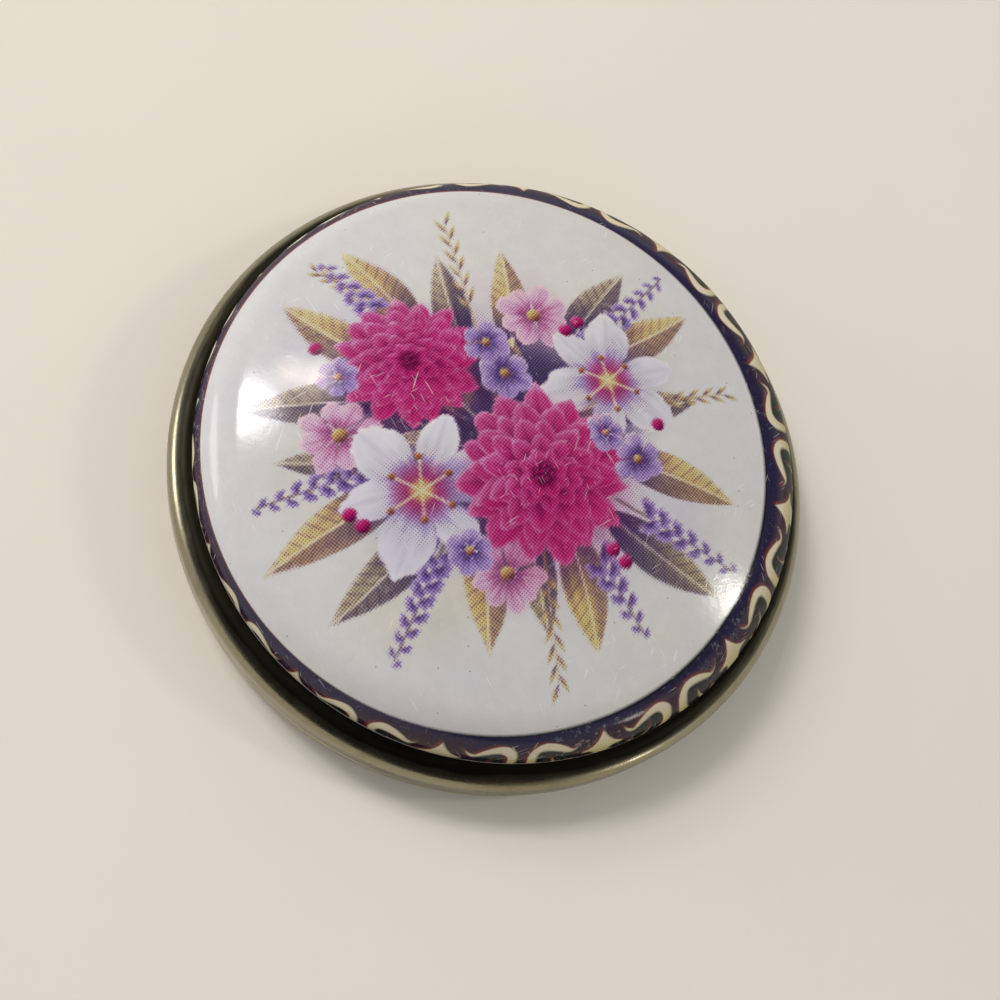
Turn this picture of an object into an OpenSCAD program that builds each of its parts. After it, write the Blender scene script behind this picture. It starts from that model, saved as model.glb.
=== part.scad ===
// Round sewing tin: a domed slip lid over a drawn body with a rolled-on bottom plate.
// Every piece is one sheet of tinplate, drawn as the revolve of its bent section.
// Origin at the centre of the foot ring, +Z up, millimetres.

/* [Sheet] */
// Thickness of the tinplate
sheet_t = 0.22; // [0.18:0.01:0.26]

/* [Lid] */
// Outside diameter of the lid
lid_d = 70; // [60:1:100]
// Height of the dome above the widest line of the lid
dome_rise = 10.4; // [9:0.1:12]
// Radius of the rounded shoulder between dome and skirt
shoulder_r = 6.5; // [6.2:0.1:7.4]
// Height of the straight skirt below the widest line
skirt_h = 1; // [0.95:0.05:1.6]
// Outside radius of the curl along the lid's lower edge
lid_curl_r = 0.45; // [0.4:0.01:0.5]
// Radial play between the lid's curl and the neck
lid_play = 0.1; // [0.08:0.01:0.2]
// Gap between the lid's edge and the gutter it drops into
seat_gap = 0.04; // [0.03:0.01:0.1]

/* [Body] */
// How far the body stands out past the lid all round
body_out = 2.7; // [2.5:0.05:3]
// Height of the gutter that the lid's edge drops into
gutter_z = 7.5; // [7.3:0.1:14]
// Radius of the stop bead, the round shoulder outside the gutter
bead_r = 2.2; // [2.1:0.05:2.4]
// Radius of the gutter between neck and stop bead
gutter_r = 0.6; // [0.55:0.01:0.7]
// Height of the neck above the gutter
neck_h = 3.2; // [2.6:0.05:3.25]
// Outside radius of the inward curl along the mouth
mouth_curl_r = 0.42; // [0.36:0.01:0.45]
// Radius of the heel where the wall turns in above the foot
heel_r = 1.3; // [1.2:0.05:1.4]
// Radius of the hollow between heel and foot ring
hollow_r = 0.4; // [0.35:0.01:0.5]

/* [Bottom] */
// Outside radius of the foot ring, the curl that locks the bottom plate on
foot_r = 0.62; // [0.6:0.01:0.66]
// Width of the flat that the rolling leaves under the foot ring
foot_flat = 0.2; // [0.1:0.01:0.3]
// How far the foot ring stays inside the body's widest line
foot_inset = 0.3; // [0.2:0.05:0.35]
// Height of the bottom panel's underside above the table
panel_z = 1.6; // [1.5:0.1:2]
// Width of the raised step round the bottom panel
step_w = 3.5; // [3:0.1:5]
// Height of that step
step_h = 0.5; // [0.4:0.05:0.6]

/* [Hidden] */
$fn = 180;

// Steps on a quarter turn of a tight bend, and the longest step on a wide one
bend_steps = 9;
step_max = 0.9;

lid_r = lid_d / 2;
body_r = lid_r + body_out;

// Lid: widest line, dome sphere and the angle where dome and shoulder meet
lid_edge_z = gutter_z + seat_gap;
widest_z = lid_edge_z + skirt_h;
shoulder_x = lid_r - shoulder_r;
dome_r = (dome_rise ^ 2 + shoulder_x ^ 2 - shoulder_r ^ 2) / (2 * (dome_rise - shoulder_r));
dome_z = widest_z + dome_rise - dome_r;
dome_meet = atan2(widest_z - dome_z, shoulder_x);

// Body: neck, gutter, stop bead
neck_r = lid_r - 2 * lid_curl_r - lid_play;
mouth_z = gutter_z + neck_h;
gutter_x = neck_r + gutter_r;
bead_x = body_r - bead_r;
bead_lean = asin((bead_x - gutter_x) / (bead_r + gutter_r));
bead_z = gutter_z + gutter_r - (bead_r + gutter_r) * cos(bead_lean);

// Foot ring: two sheets rolled up together, the body's inside the bottom plate's
foot_out_x = body_r - foot_inset - foot_r;
foot_in_x = foot_out_x - foot_flat;
tail_r = foot_r - 2 * sheet_t;
hollow_x = foot_in_x - tail_r;
heel_turn = acos(1 - (body_r - hollow_x) / (heel_r + hollow_r));
hollow_z = 2 * foot_r + hollow_r;
heel_z = hollow_z + (heel_r + hollow_r) * sin(heel_turn);

// Bottom plate: wall of the foot ring and stepped panel
panel_bend_r = 0.5;
foot_wall_x = foot_in_x - foot_r;
step_x = foot_wall_x - panel_bend_r - step_w;
step_lean = 45;
step_bend_r = step_h / (2 * (1 - cos(step_lean)));

// Colours: cream lacquer outside the lid, bare tinplate elsewhere
cream = [0.85, 0.82, 0.78];
tinplate = [0.70, 0.66, 0.52];

// An arc from angle a to angle b, in equal steps
function arc(x, z, r, a, b) =
    let (turn = abs(b - a))
    let (n = max(2, ceil(turn / 90 * bend_steps), ceil(r * turn * PI / 180 / step_max)))
    [for (i = [0:n]) let (w = a + (b - a) * i / n) [x + r * cos(w), z + r * sin(w)]];

function backwards(points) = [for (i = [len(points) - 1:-1:0]) points[i]];

// Sections of the three sheets, each as the line d below the sheet's outer skin.
// A bend round a centre inside the tin loses d from its radius, one round a centre outside gains it.
function lid_line(d) = concat(
    arc(0, dome_z, dome_r - d, 90, dome_meet),
    arc(shoulder_x, widest_z, shoulder_r - d, dome_meet, 0),
    arc(lid_r - lid_curl_r, lid_edge_z + lid_curl_r, lid_curl_r - d, 0, -285));

function body_line(d) = concat(
    arc(neck_r - mouth_curl_r, mouth_z - mouth_curl_r, mouth_curl_r - d, 285, 0),
    arc(gutter_x, gutter_z + gutter_r, gutter_r + d, 180, 270 + bead_lean),
    arc(bead_x, bead_z, bead_r - d, 90 + bead_lean, 0),
    arc(body_r - heel_r, heel_z, heel_r - d, 0, -heel_turn),
    arc(hollow_x + hollow_r, hollow_z, hollow_r + d, 180 - heel_turn, 180),
    arc(foot_in_x, foot_r, tail_r + d, 180, 270),
    arc(foot_out_x, foot_r, tail_r + d, 270, 330));

function plate_line(d) = concat(
    [[0, panel_z + step_h + d]],
    arc(step_x, panel_z + step_h - step_bend_r, step_bend_r + d, 90, step_lean),
    arc(step_x + 2 * step_bend_r * cos(step_lean), panel_z + step_bend_r,
        step_bend_r - d, 180 + step_lean, 270),
    arc(foot_wall_x - panel_bend_r, panel_z - panel_bend_r, panel_bend_r + d, 90, 0),
    arc(foot_in_x, foot_r, foot_r - d, 180, 270),
    arc(foot_out_x, foot_r, foot_r - d, 270, 460));

module spun_sheet(outer, inner) {
    rotate_extrude() polygon(concat(outer, backwards(inner)));
}

module lid() {
    color(cream) spun_sheet(lid_line(0), lid_line(sheet_t));
}

module body() {
    color(tinplate) spun_sheet(body_line(0), body_line(sheet_t));
}

module bottom_plate() {
    color(tinplate) spun_sheet(plate_line(0), plate_line(sheet_t));
}

lid();
body();
bottom_plate();
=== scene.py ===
"""A round sewing tin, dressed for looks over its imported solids.

Every piece is one bent sheet: its section is drawn as bends, followed by arc length and carried round +Z.
Metres throughout; the origin is the centre of the foot ring and +Y points to the top of the lid's picture.
"""

import math

import bpy
import numpy as np
from mathutils import Matrix, Vector


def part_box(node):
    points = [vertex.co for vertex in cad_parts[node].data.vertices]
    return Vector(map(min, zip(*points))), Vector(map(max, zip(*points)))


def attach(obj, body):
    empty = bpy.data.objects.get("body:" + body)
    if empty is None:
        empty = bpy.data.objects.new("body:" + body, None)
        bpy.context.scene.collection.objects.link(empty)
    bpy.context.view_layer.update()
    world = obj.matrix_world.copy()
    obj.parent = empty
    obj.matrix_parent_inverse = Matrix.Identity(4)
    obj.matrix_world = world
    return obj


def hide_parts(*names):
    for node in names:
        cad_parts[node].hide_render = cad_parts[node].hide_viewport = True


bl_info = {
    "name": "Sewing tin",
    "version": (1, 0, 0),
    "blender": (4, 5, 0),
    "location": "View3D > Sidebar > Sewing Tin",
    "description": "Builds the printed lid, drawn body and rolled-on bottom plate of a round sewing tin",
    "category": "Add Mesh",
}

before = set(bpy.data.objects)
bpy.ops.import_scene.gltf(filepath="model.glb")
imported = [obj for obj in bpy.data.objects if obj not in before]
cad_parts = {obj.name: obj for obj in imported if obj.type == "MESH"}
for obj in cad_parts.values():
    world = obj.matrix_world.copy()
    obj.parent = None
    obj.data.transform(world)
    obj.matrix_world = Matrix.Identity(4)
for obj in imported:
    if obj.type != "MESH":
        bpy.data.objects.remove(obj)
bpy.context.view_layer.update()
MM = 0.001
# Side of the square that the print's UV map covers
PRINT_SPAN = 0.1
LUMINANCE = (0.30, 0.59, 0.11)
LID_BOX, BODY_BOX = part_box("lid"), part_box("body")


def length(name, text, default, low=0.0, high=1.0):
    """A length in metres for a property group."""
    return bpy.props.FloatProperty(name=name, description=text, default=default, min=low, max=high,
                                   precision=5, subtype="DISTANCE", unit="LENGTH")


def colour(name, text, default):
    """A colour for a property group, as scene-linear red, green and blue."""
    return bpy.props.FloatVectorProperty(name=name, description=text, default=default, min=0.0, max=1.0,
                                         size=3, subtype="COLOR")


def srgb(red, green, blue):
    """The scene-linear colour of red, green and blue from 0 to 255."""
    parts = (v / 255 for v in (red, green, blue))
    return tuple(v / 12.92 if v <= 0.04045 else ((v + 0.055) / 1.055) ** 2.4 for v in parts)


class TinSizes(bpy.types.PropertyGroup):
    """The bends of the three sheets, with the same values as the solids."""

    sheet: length("Sheet", "Thickness of the tinplate", 0.22 * MM)
    lid_radius: length("Lid radius", "Outside radius of the lid", LID_BOX[1].x)
    dome_rise: length("Dome rise", "Height of the dome above the lid's widest line", 10.4 * MM)
    shoulder: length("Shoulder", "Radius of the bend between dome and skirt", 6.5 * MM)
    skirt: length("Skirt", "Height of the skirt below the widest line, curl included", 1.0 * MM)
    lid_curl: length("Lid curl", "Outside radius of the curl along the lid's lower edge", 0.45 * MM)
    lid_play: length("Lid play", "Radial play between the lid's curl and the neck", 0.1 * MM)
    body_radius: length("Body radius", "Outside radius of the body", BODY_BOX[1].x)
    gutter_height: length("Gutter height", "Height of the gutter that the lid drops into", 7.5 * MM)
    gutter: length("Gutter", "Radius of the gutter between neck and stop bead", 0.6 * MM)
    bead: length("Stop bead", "Radius of the round shoulder outside the gutter", 2.2 * MM)
    mouth_curl: length("Mouth curl", "Outside radius of the inward curl along the mouth", 0.42 * MM)
    heel: length("Heel", "Radius of the heel where the wall turns in above the foot", 1.3 * MM)
    hollow: length("Hollow", "Radius of the hollow between heel and foot ring", 0.4 * MM)
    foot: length("Foot ring", "Outside radius of the foot ring", 0.62 * MM)
    foot_flat: length("Foot flat", "Width of the flat under the foot ring", 0.2 * MM)
    foot_inset: length("Foot inset", "How far the foot ring stays inside the body", 0.3 * MM)
    panel_height: length("Panel height", "Height of the bottom panel's underside", 1.6 * MM)
    panel_bend: length("Panel bend", "Radius of the bend between panel and foot ring", 0.5 * MM)
    step_width: length("Step width", "Width of the ring outside the raised panel", 3.5 * MM)
    step_height: length("Step height", "Height of the raised panel", 0.5 * MM)


class TinPrint(bpy.types.PropertyGroup):
    """The lid's print: where it sits, its dot screen and the colours of the border."""

    shift_x: length("Shift X", "How far the print sits off the lid's centre along X", -2.92 * MM, -0.01)
    shift_y: length("Shift Y", "How far the print sits off the lid's centre along Y", -1.10 * MM, -0.01)
    disc: length("Disc", "Radius of the cream disc on the flat sheet", 32.82 * MM)
    repeats: bpy.props.IntProperty(name="Repeats", description="Scroll and dart repeats round the border",
                                   default=12, min=1)
    turn: bpy.props.FloatProperty(name="Turn", description="Direction of the first dart from +X",
                                  default=math.radians(20.2), subtype="ANGLE", unit="ROTATION")
    slip_x: length("Slip X", "How far the dark plate was printed off the red one along X", -0.36 * MM, -0.001)
    slip_y: length("Slip Y", "How far the dark plate was printed off the red one along Y", 0.24 * MM, -0.001)
    dot: length("Screen", "Distance between the rows of the print's dots", 0.3 * MM, 0.0001)
    cream: colour("Cream", "Ground of the disc", srgb(212, 209, 206))
    navy: colour("Navy", "Band round the disc", srgb(46, 41, 69))
    plum: colour("Plum", "Second tone of the band", srgb(55, 32, 49))
    scroll: colour("Scroll", "Scrolls and darts", srgb(222, 209, 180))
    straw: colour("Straw", "Lower parts of the scrolls and darts", srgb(194, 184, 130))
    teal: colour("Teal", "Ground under the scrolls", srgb(29, 35, 33))
    rust: colour("Rust", "Line where only the red plate prints", srgb(110, 50, 46))


class TinFlowers(bpy.types.PropertyGroup):
    """The main inks of the garland on the lid."""

    crimson: colour("Crimson", "Dahlias and berries", srgb(196, 40, 104))
    rose: colour("Rose", "Pale pink blossoms", srgb(206, 146, 166))
    white: colour("White", "Lilies", srgb(206, 202, 210))
    violet: colour("Violet", "Flower spikes and small blossoms", srgb(146, 130, 174))
    ochre: colour("Ochre", "Sunlit leaves and grass ears", srgb(184, 158, 92))
    olive: colour("Olive", "Shaded leaves", srgb(142, 134, 98))


class TinMetal(bpy.types.PropertyGroup):
    """The colours of the bare tinplate."""

    ring: colour("Ring", "Gold-toned tinplate of the body", srgb(156, 150, 128))
    lining: colour("Lining", "Bare tinplate inside the lid", srgb(212, 208, 204))
    bottom: colour("Bottom", "Tinplate of the bottom plate", srgb(208, 200, 178))


class TinStudio(bpy.types.PropertyGroup):
    """Camera, floor and lights."""

    eye_x: length("Camera X", "Place of the camera", -35.29 * MM, -1.0)
    eye_y: length("Camera Y", "Place of the camera", -57.17 * MM, -1.0)
    eye_z: length("Camera Z", "Place of the camera", 153.75 * MM)
    aim_x: length("Aim X", "Point in the middle of the view", -0.62 * MM, -1.0)
    aim_y: length("Aim Y", "Point in the middle of the view", -5.22 * MM, -1.0)
    aim_z: length("Aim Z", "Point in the middle of the view", 8.54 * MM)
    roll: bpy.props.FloatProperty(name="Roll", description="Turn of the view's upright from +Y",
                                  default=math.radians(2.38), subtype="ANGLE", unit="ROTATION")
    lens: bpy.props.FloatProperty(name="Lens", description="Focal length on a 36 mm sensor", default=50.02,
                                  min=1.0, unit="CAMERA")
    floor: colour("Floor", "Pale floor", srgb(238, 229, 214))


# Sections

# How far the curls turn in degrees, and the gap between the lid's edge and the gutter
CURL_TURN = 285
SEAT_GAP = 0.04 * MM


def bend(x, z, radius, start, end):
    """A bend of the sheet: centre, outside radius and the angles in degrees where it starts and ends.
    A radius below zero is a bend whose centre lies outside the tin."""
    return x, z, radius, start, end


def sheet_line(bends, depth, fine):
    """One skin of a sheet. Each bend is the circle centre + radius (cos w, sin w), its angle w in equal steps
    of at most fine degrees; a skin at that depth has its radius less where the centre is inside the tin, and
    more where it is outside. Straight stretches join the bends."""
    line = []
    for x, z, radius, start, end in bends:
        steps = max(2, math.ceil(abs(end - start) / fine))
        w = np.radians(np.linspace(start, end, steps + 1))
        r = abs(radius) - depth if radius > 0 else abs(radius) + depth
        line.append(np.stack([x + r * np.cos(w), z + r * np.sin(w)], axis=1))
    return np.concatenate(line)


def lid_bends(s):
    """Dome, shoulder and curl of the lid, from the crown out."""
    widest = s.gutter_height + SEAT_GAP + s.skirt
    reach = s.lid_radius - s.shoulder
    dome = (s.dome_rise ** 2 + reach ** 2 - s.shoulder ** 2) / (2 * (s.dome_rise - s.shoulder))
    centre = widest + s.dome_rise - dome
    meet = math.degrees(math.atan2(widest - centre, reach))
    return [bend(0, centre, dome, 90, meet), bend(reach, widest, s.shoulder, meet, 0),
            bend(s.lid_radius - s.lid_curl, widest - s.skirt + s.lid_curl, s.lid_curl, 0, -CURL_TURN)]


def body_bends(s):
    """Mouth curl, neck, gutter, stop bead, wall, heel, hollow and the tail inside the foot ring."""
    neck = s.lid_radius - 2 * s.lid_curl - s.lid_play
    mouth = BODY_BOX[1].z
    gutter_x, bead_x = neck + s.gutter, s.body_radius - s.bead
    lean = math.asin((bead_x - gutter_x) / (s.bead + s.gutter))
    bead_z = s.gutter_height + s.gutter - (s.bead + s.gutter) * math.cos(lean)
    foot_out = s.body_radius - s.foot_inset - s.foot
    foot_in, tail = foot_out - s.foot_flat, s.foot - 2 * s.sheet
    hollow_x = foot_in - tail
    turn = math.acos(1 - (s.body_radius - hollow_x) / (s.heel + s.hollow))
    hollow_z = 2 * s.foot + s.hollow
    heel_z = hollow_z + (s.heel + s.hollow) * math.sin(turn)
    lean, turn = math.degrees(lean), math.degrees(turn)
    return [bend(neck - s.mouth_curl, mouth - s.mouth_curl, s.mouth_curl, CURL_TURN, 0),
            bend(gutter_x, s.gutter_height + s.gutter, -s.gutter, 180, 270 + lean),
            bend(bead_x, bead_z, s.bead, 90 + lean, 0),
            bend(s.body_radius - s.heel, heel_z, s.heel, 0, -turn),
            bend(hollow_x + s.hollow, hollow_z, -s.hollow, 180 - turn, 180),
            bend(foot_in, s.foot, -tail, 180, 270), bend(foot_out, s.foot, -tail, 270, 330)]


def plate_bends(s):
    """Raised panel, step, bend up to the foot ring and the foot ring of the bottom plate."""
    foot_out = s.body_radius - s.foot_inset - s.foot
    foot_in = foot_out - s.foot_flat
    wall = foot_in - s.foot
    step = wall - s.panel_bend - s.step_width
    lean = 45
    r = s.step_height / (2 * (1 - math.cos(math.radians(lean))))
    low, high = s.panel_height, s.panel_height + s.step_height
    return [bend(step, high - r, -r, 90, lean),
            bend(step + 2 * r * math.cos(math.radians(lean)), low + r, r, 180 + lean, 270),
            bend(wall - s.panel_bend, low - s.panel_bend, -s.panel_bend, 90, 0),
            bend(foot_in, s.foot, s.foot, 180, 270), bend(foot_out, s.foot, s.foot, 270, 460)]


def run_of(line):
    """Distance along a line of points, from its first."""
    return np.concatenate([[0.0], np.cumsum(np.hypot(*np.diff(line, axis=0).T))])


# Surfaces

# Longest step between rows of the body and the bottom plate, and the angle from which an edge is sharp
ROW_STEP = 0.8 * MM
SHARP = math.radians(50)


def disc_grid(cells):
    """A square grid laid on the unit disc: a point (u, v) goes to radius max(|u|, |v|) and to the angle that
    its other coordinate gives along that square's side. Returns radius, angle, the faces and the outer ring,
    which has 4 x cells points at equal angles."""
    a = np.linspace(-1, 1, cells + 1)
    u, v = np.meshgrid(a, a)
    side = np.abs(u) >= np.abs(v)
    radius = np.maximum(np.abs(u), np.abs(v))
    east = np.pi / 4 * v / np.where(side & (u != 0), u, 1) + np.where(u < 0, np.pi, 0)
    north = np.pi / 2 - np.pi / 4 * u / np.where(side, 1, v) + np.where(v < 0, np.pi, 0)
    angle = np.where(side, east, north)
    n = np.arange((cells + 1) ** 2).reshape(cells + 1, cells + 1)
    faces = np.stack([n[:-1, :-1], n[:-1, 1:], n[1:, 1:], n[1:, :-1]], axis=-1).reshape(-1, 4)
    edge = np.unique(np.concatenate([n[0], n[-1], n[:, 0], n[:, -1]]))
    ring = edge[np.argsort(angle.ravel()[edge] % (2 * np.pi))]
    return radius.ravel(), angle.ravel(), faces, ring


def bands(rings):
    """Quads between rings of equally many points, each ring closed on itself."""
    lower, upper = rings[:-1], rings[1:]
    return np.stack([lower, upper, np.roll(upper, -1, axis=1), np.roll(lower, -1, axis=1)],
                    axis=-1).reshape(-1, 4)


def make_mesh(name, points, quads, triangles=None):
    """A mesh object from arrays of points, quads and triangles, smooth but for its sheet edges."""
    mesh = bpy.data.meshes.new(name)
    triangles = np.zeros((0, 3), int) if triangles is None else triangles
    corners = np.concatenate([quads.ravel(), triangles.ravel()]).astype(np.int32)
    starts = np.concatenate([np.arange(len(quads)) * 4,
                             len(quads) * 4 + np.arange(len(triangles)) * 3]).astype(np.int32)
    mesh.vertices.add(len(points))
    mesh.vertices.foreach_set("co", points.astype(np.float32).ravel())
    mesh.loops.add(len(corners))
    mesh.loops.foreach_set("vertex_index", corners)
    mesh.polygons.add(len(starts))
    mesh.polygons.foreach_set("loop_start", starts)
    mesh.update(calc_edges=True)
    mesh.polygons.foreach_set("use_smooth", np.ones(len(starts), bool))
    mesh.set_sharp_from_angle(angle=SHARP)
    mesh.validate()
    piece = bpy.data.objects.new(name, mesh)
    bpy.context.scene.collection.objects.link(piece)
    return piece


def set_values(mesh, name, kind, field, values):
    """A named value per point of the mesh."""
    mesh.attributes.new(name, kind, "POINT").data.foreach_set(field, values.astype(np.float32).ravel())


def carried(r, angle, z):
    """Points at radius r, angle and height z."""
    return np.stack([r * np.cos(angle), r * np.sin(angle), z + 0 * angle], axis=-1)


def spread(line, step):
    """The line's distances at which rows are laid: its bends' own points, with long stretches divided."""
    run = run_of(line)
    parts = [np.linspace(a, b, math.ceil((b - a) / step) + 1)[:-1] for a, b in zip(run, run[1:])
             if b - a > 1e-9]
    return np.concatenate(parts + [run[-1:]])


def ring_shell(name, bends, depth, columns, fine):
    """A sheet carried round +Z as a closed ring: the rows go down the outer skin and back up the inner one,
    both at the same distances along the sheet."""
    outer, inner = sheet_line(bends, 0, fine), sheet_line(bends, depth, fine)
    run, rows = run_of(outer), spread(outer, ROW_STEP)
    section = [np.stack([np.interp(rows, run, skin[:, 0]), np.interp(rows, run, skin[:, 1])], axis=1)
               for skin in (outer, inner)]
    loop = np.concatenate([section[0], section[1][::-1]])
    angle = np.linspace(0, 2 * np.pi, columns, endpoint=False)
    points = carried(loop[:, :1], angle[None, :], loop[:, 1:])
    rings = np.arange(points.shape[0] * columns).reshape(-1, columns)
    return make_mesh(name, points.reshape(-1, 3), bands(np.concatenate([rings, rings[:1]])))


def capped_shell(name, outer, inner, run, reach, cells, shrink, rows, inner_rows):
    """A sheet that closes over the axis. Each skin is a disc grid out to the distance reach along the sheet,
    then rings as far as the sheet goes; the inner skin has shrink times fewer columns, joined at the end of
    the sheet by fans of triangles. Returns the object and, per point, the distance along the sheet, the angle
    and whether it is on the outer skin."""
    skins, quads, ends, offset = [], [], [], 0
    for line, n, lay, inside in ((outer, cells, rows, False), (inner, cells // shrink, inner_rows, True)):
        radius, angle, faces, ring = disc_grid(n)
        turn = np.linspace(0, 2 * np.pi, 4 * n, endpoint=False)
        s_rings, a_rings = np.meshgrid(lay, turn, indexing="ij")
        s = np.concatenate([radius * reach, s_rings.ravel()])
        angle = np.concatenate([angle, a_rings.ravel()])
        r, z = np.interp(s, run, line[:, 0]), np.interp(s, run, line[:, 1])
        laid = np.arange(len(lay) * 4 * n).reshape(len(lay), 4 * n) + len(radius)
        chain = np.concatenate([ring[None, :], laid]) + offset
        faces = np.concatenate([faces + offset, bands(chain)])
        quads.append(faces[:, ::-1] if inside else faces)
        ends.append(chain[-1])
        skins.append((carried(r, angle, z), s, angle, np.full(len(s), not inside)))
        offset += len(s)
    few, many = ends[1], ends[0].reshape(-1, shrink)
    after, half = np.roll(few, -1), shrink // 2
    steps = np.concatenate([many, np.roll(many[:, :1], -1, axis=0)], axis=1)
    fans = [np.stack([steps[:, i], few if i < half else after, steps[:, i + 1]], axis=1)
            for i in range(shrink)]
    fans.append(np.stack([few, after, steps[:, half]], axis=1))
    points, s, angle, outside = (np.concatenate(part) for part in zip(*skins))
    return make_mesh(name, points, np.concatenate(quads), np.concatenate(fans)), s, angle, outside


# Materials

# How many times a scratch's noise repeats over the print's square, along the scratch and across it
SCRATCH_ALONG, SCRATCH_ACROSS = 34, 420


class Shader:
    """The node tree of a material or the world, written as calls that each return an output socket."""

    def __init__(self, holder):
        self.holder = holder
        holder.use_nodes = True
        self.tree = holder.node_tree
        self.tree.nodes.clear()
        self.count = 0

    def node(self, kind, **settings):
        made = self.tree.nodes.new(kind)
        self.count += 1
        made.location = (-220 * (self.count // 8), -160 * (self.count % 8))
        for name, value in settings.items():
            setattr(made, name, value)
        return made

    def feed(self, socket, value):
        """Link another node's output to a socket, or set its value; a colour gets its alpha."""
        if isinstance(value, bpy.types.NodeSocket):
            self.tree.links.new(value, socket)
        else:
            socket.default_value = (*value, 1.0) if socket.type == "RGBA" and len(value) == 3 else value

    def work(self, kind, *values, **settings):
        """A node whose first inputs take the values in order; returns its outputs."""
        made = self.node(kind, **settings)
        for socket, value in zip(made.inputs, values):
            self.feed(socket, value)
        return made.outputs

    def math(self, operation, *values):
        return self.work("ShaderNodeMath", *values, operation=operation)[0]

    def times(self, first, second):
        return self.math("MULTIPLY", first, second)

    def vector(self, operation, *values):
        outputs = self.work("ShaderNodeVectorMath", *values, operation=operation)
        return outputs["Value" if operation in ("DOT_PRODUCT", "LENGTH") else "Vector"]

    def join(self, x, y, z):
        return self.work("ShaderNodeCombineXYZ", x, y, z)[0]

    def split(self, value):
        return self.work("ShaderNodeSeparateXYZ", value)

    def mix(self, share, first, second, blend="MIX"):
        made = self.node("ShaderNodeMix", data_type="RGBA", blend_type=blend)
        for socket, value in zip((made.inputs["Factor"], *made.inputs[6:8]), (share, first, second)):
            self.feed(socket, value)
        return made.outputs[2]

    def spread(self, value, low, high, to_low=0.0, to_high=1.0):
        return self.work("ShaderNodeMapRange", value, low, high, to_low, to_high)[0]

    def noise(self, vector, scale, detail=2.0, rough=0.5):
        made = self.node("ShaderNodeTexNoise")
        for name, value in (("Vector", vector), ("Scale", scale), ("Detail", detail), ("Roughness", rough)):
            self.feed(made.inputs[name], value)
        return made.outputs["Fac"]

    def swing(self, vector, scale, detail=2.0):
        """Noise from -0.5 to 0.5."""
        return self.math("SUBTRACT", self.noise(vector, scale, detail), 0.5)

    def place(self):
        return self.node("ShaderNodeTexCoord").outputs["Object"]

    def attribute(self, name):
        return self.node("ShaderNodeAttribute", attribute_type="GEOMETRY", attribute_name=name).outputs

    def bump(self, height, distance, normal=None):
        made = self.node("ShaderNodeBump")
        made.inputs["Distance"].default_value = distance
        self.feed(made.inputs["Height"], height)
        if normal is not None:
            self.feed(made.inputs["Normal"], normal)
        return made.outputs[0]

    def hairlines(self, flat, turn, thin, level):
        """Short fine scratches: noise drawn out along one direction, kept above a level and in patches."""
        c, s = math.cos(math.radians(turn)), math.sin(math.radians(turn))
        along = self.vector("DOT_PRODUCT", flat, (c * SCRATCH_ALONG, s * SCRATCH_ALONG, 0.0))
        across = self.vector("DOT_PRODUCT", flat, (-s * SCRATCH_ACROSS, c * SCRATCH_ACROSS, 0.0))
        drawn = self.noise(self.join(along, across, float(turn)), thin / 5.0, 1.0)
        patch = self.spread(self.noise(flat, 9.0 + turn / 40, 1.0), 0.46, 0.6)
        return self.times(self.spread(drawn, level, level + 0.02), patch)

    def dots(self, flat, turn, count, share):
        """A dot screen: the mean of two cosines across each other, count waves over the print's square, cut
        at a level that gives each dot its share of the cell."""
        waves = []
        for a in (math.radians(turn), math.radians(turn + 90)):
            way = (math.cos(a) * 2 * math.pi * count, math.sin(a) * 2 * math.pi * count, 0.0)
            waves.append(self.math("COSINE", self.vector("DOT_PRODUCT", flat, way)))
        level = self.spread(share, 0.0, 1.0, 0.8, -0.6)
        field = self.times(self.math("ADD", *waves), 0.5)
        return self.spread(self.math("SUBTRACT", field, level), -0.3, 0.3)

    def specks(self, flat, scale, size):
        """Tiny round specks, one in a few cells of a cell pattern."""
        cells = self.node("ShaderNodeTexVoronoi", voronoi_dimensions="2D")
        self.feed(cells.inputs["Vector"], flat)
        cells.inputs["Scale"].default_value = scale
        pick = self.spread(self.split(cells.outputs["Color"])[0], 0.80, 0.82)
        return self.times(pick, self.spread(cells.outputs["Distance"], size * 1.6, size))

    def finish(self, **sockets):
        """The surface: a principled shader whose sockets take the named values."""
        shader = self.node("ShaderNodeBsdfPrincipled")
        for name, value in sockets.items():
            self.feed(shader.inputs[name.replace("_", " ")], value)
        self.feed(self.node("ShaderNodeOutputMaterial").inputs["Surface"], shader.outputs[0])
        return self.holder


# The first is painted shade for the gutter below the lid's edge; the others are scuffs, scratches, specks and
# a worn edge
GUTTER_SHADE, SCUFFED, SCRATCHED = srgb(30, 28, 22), srgb(226, 222, 216), srgb(238, 235, 230)
SPECK, WORN_EDGE = srgb(70, 58, 52), srgb(196, 186, 178)


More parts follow.
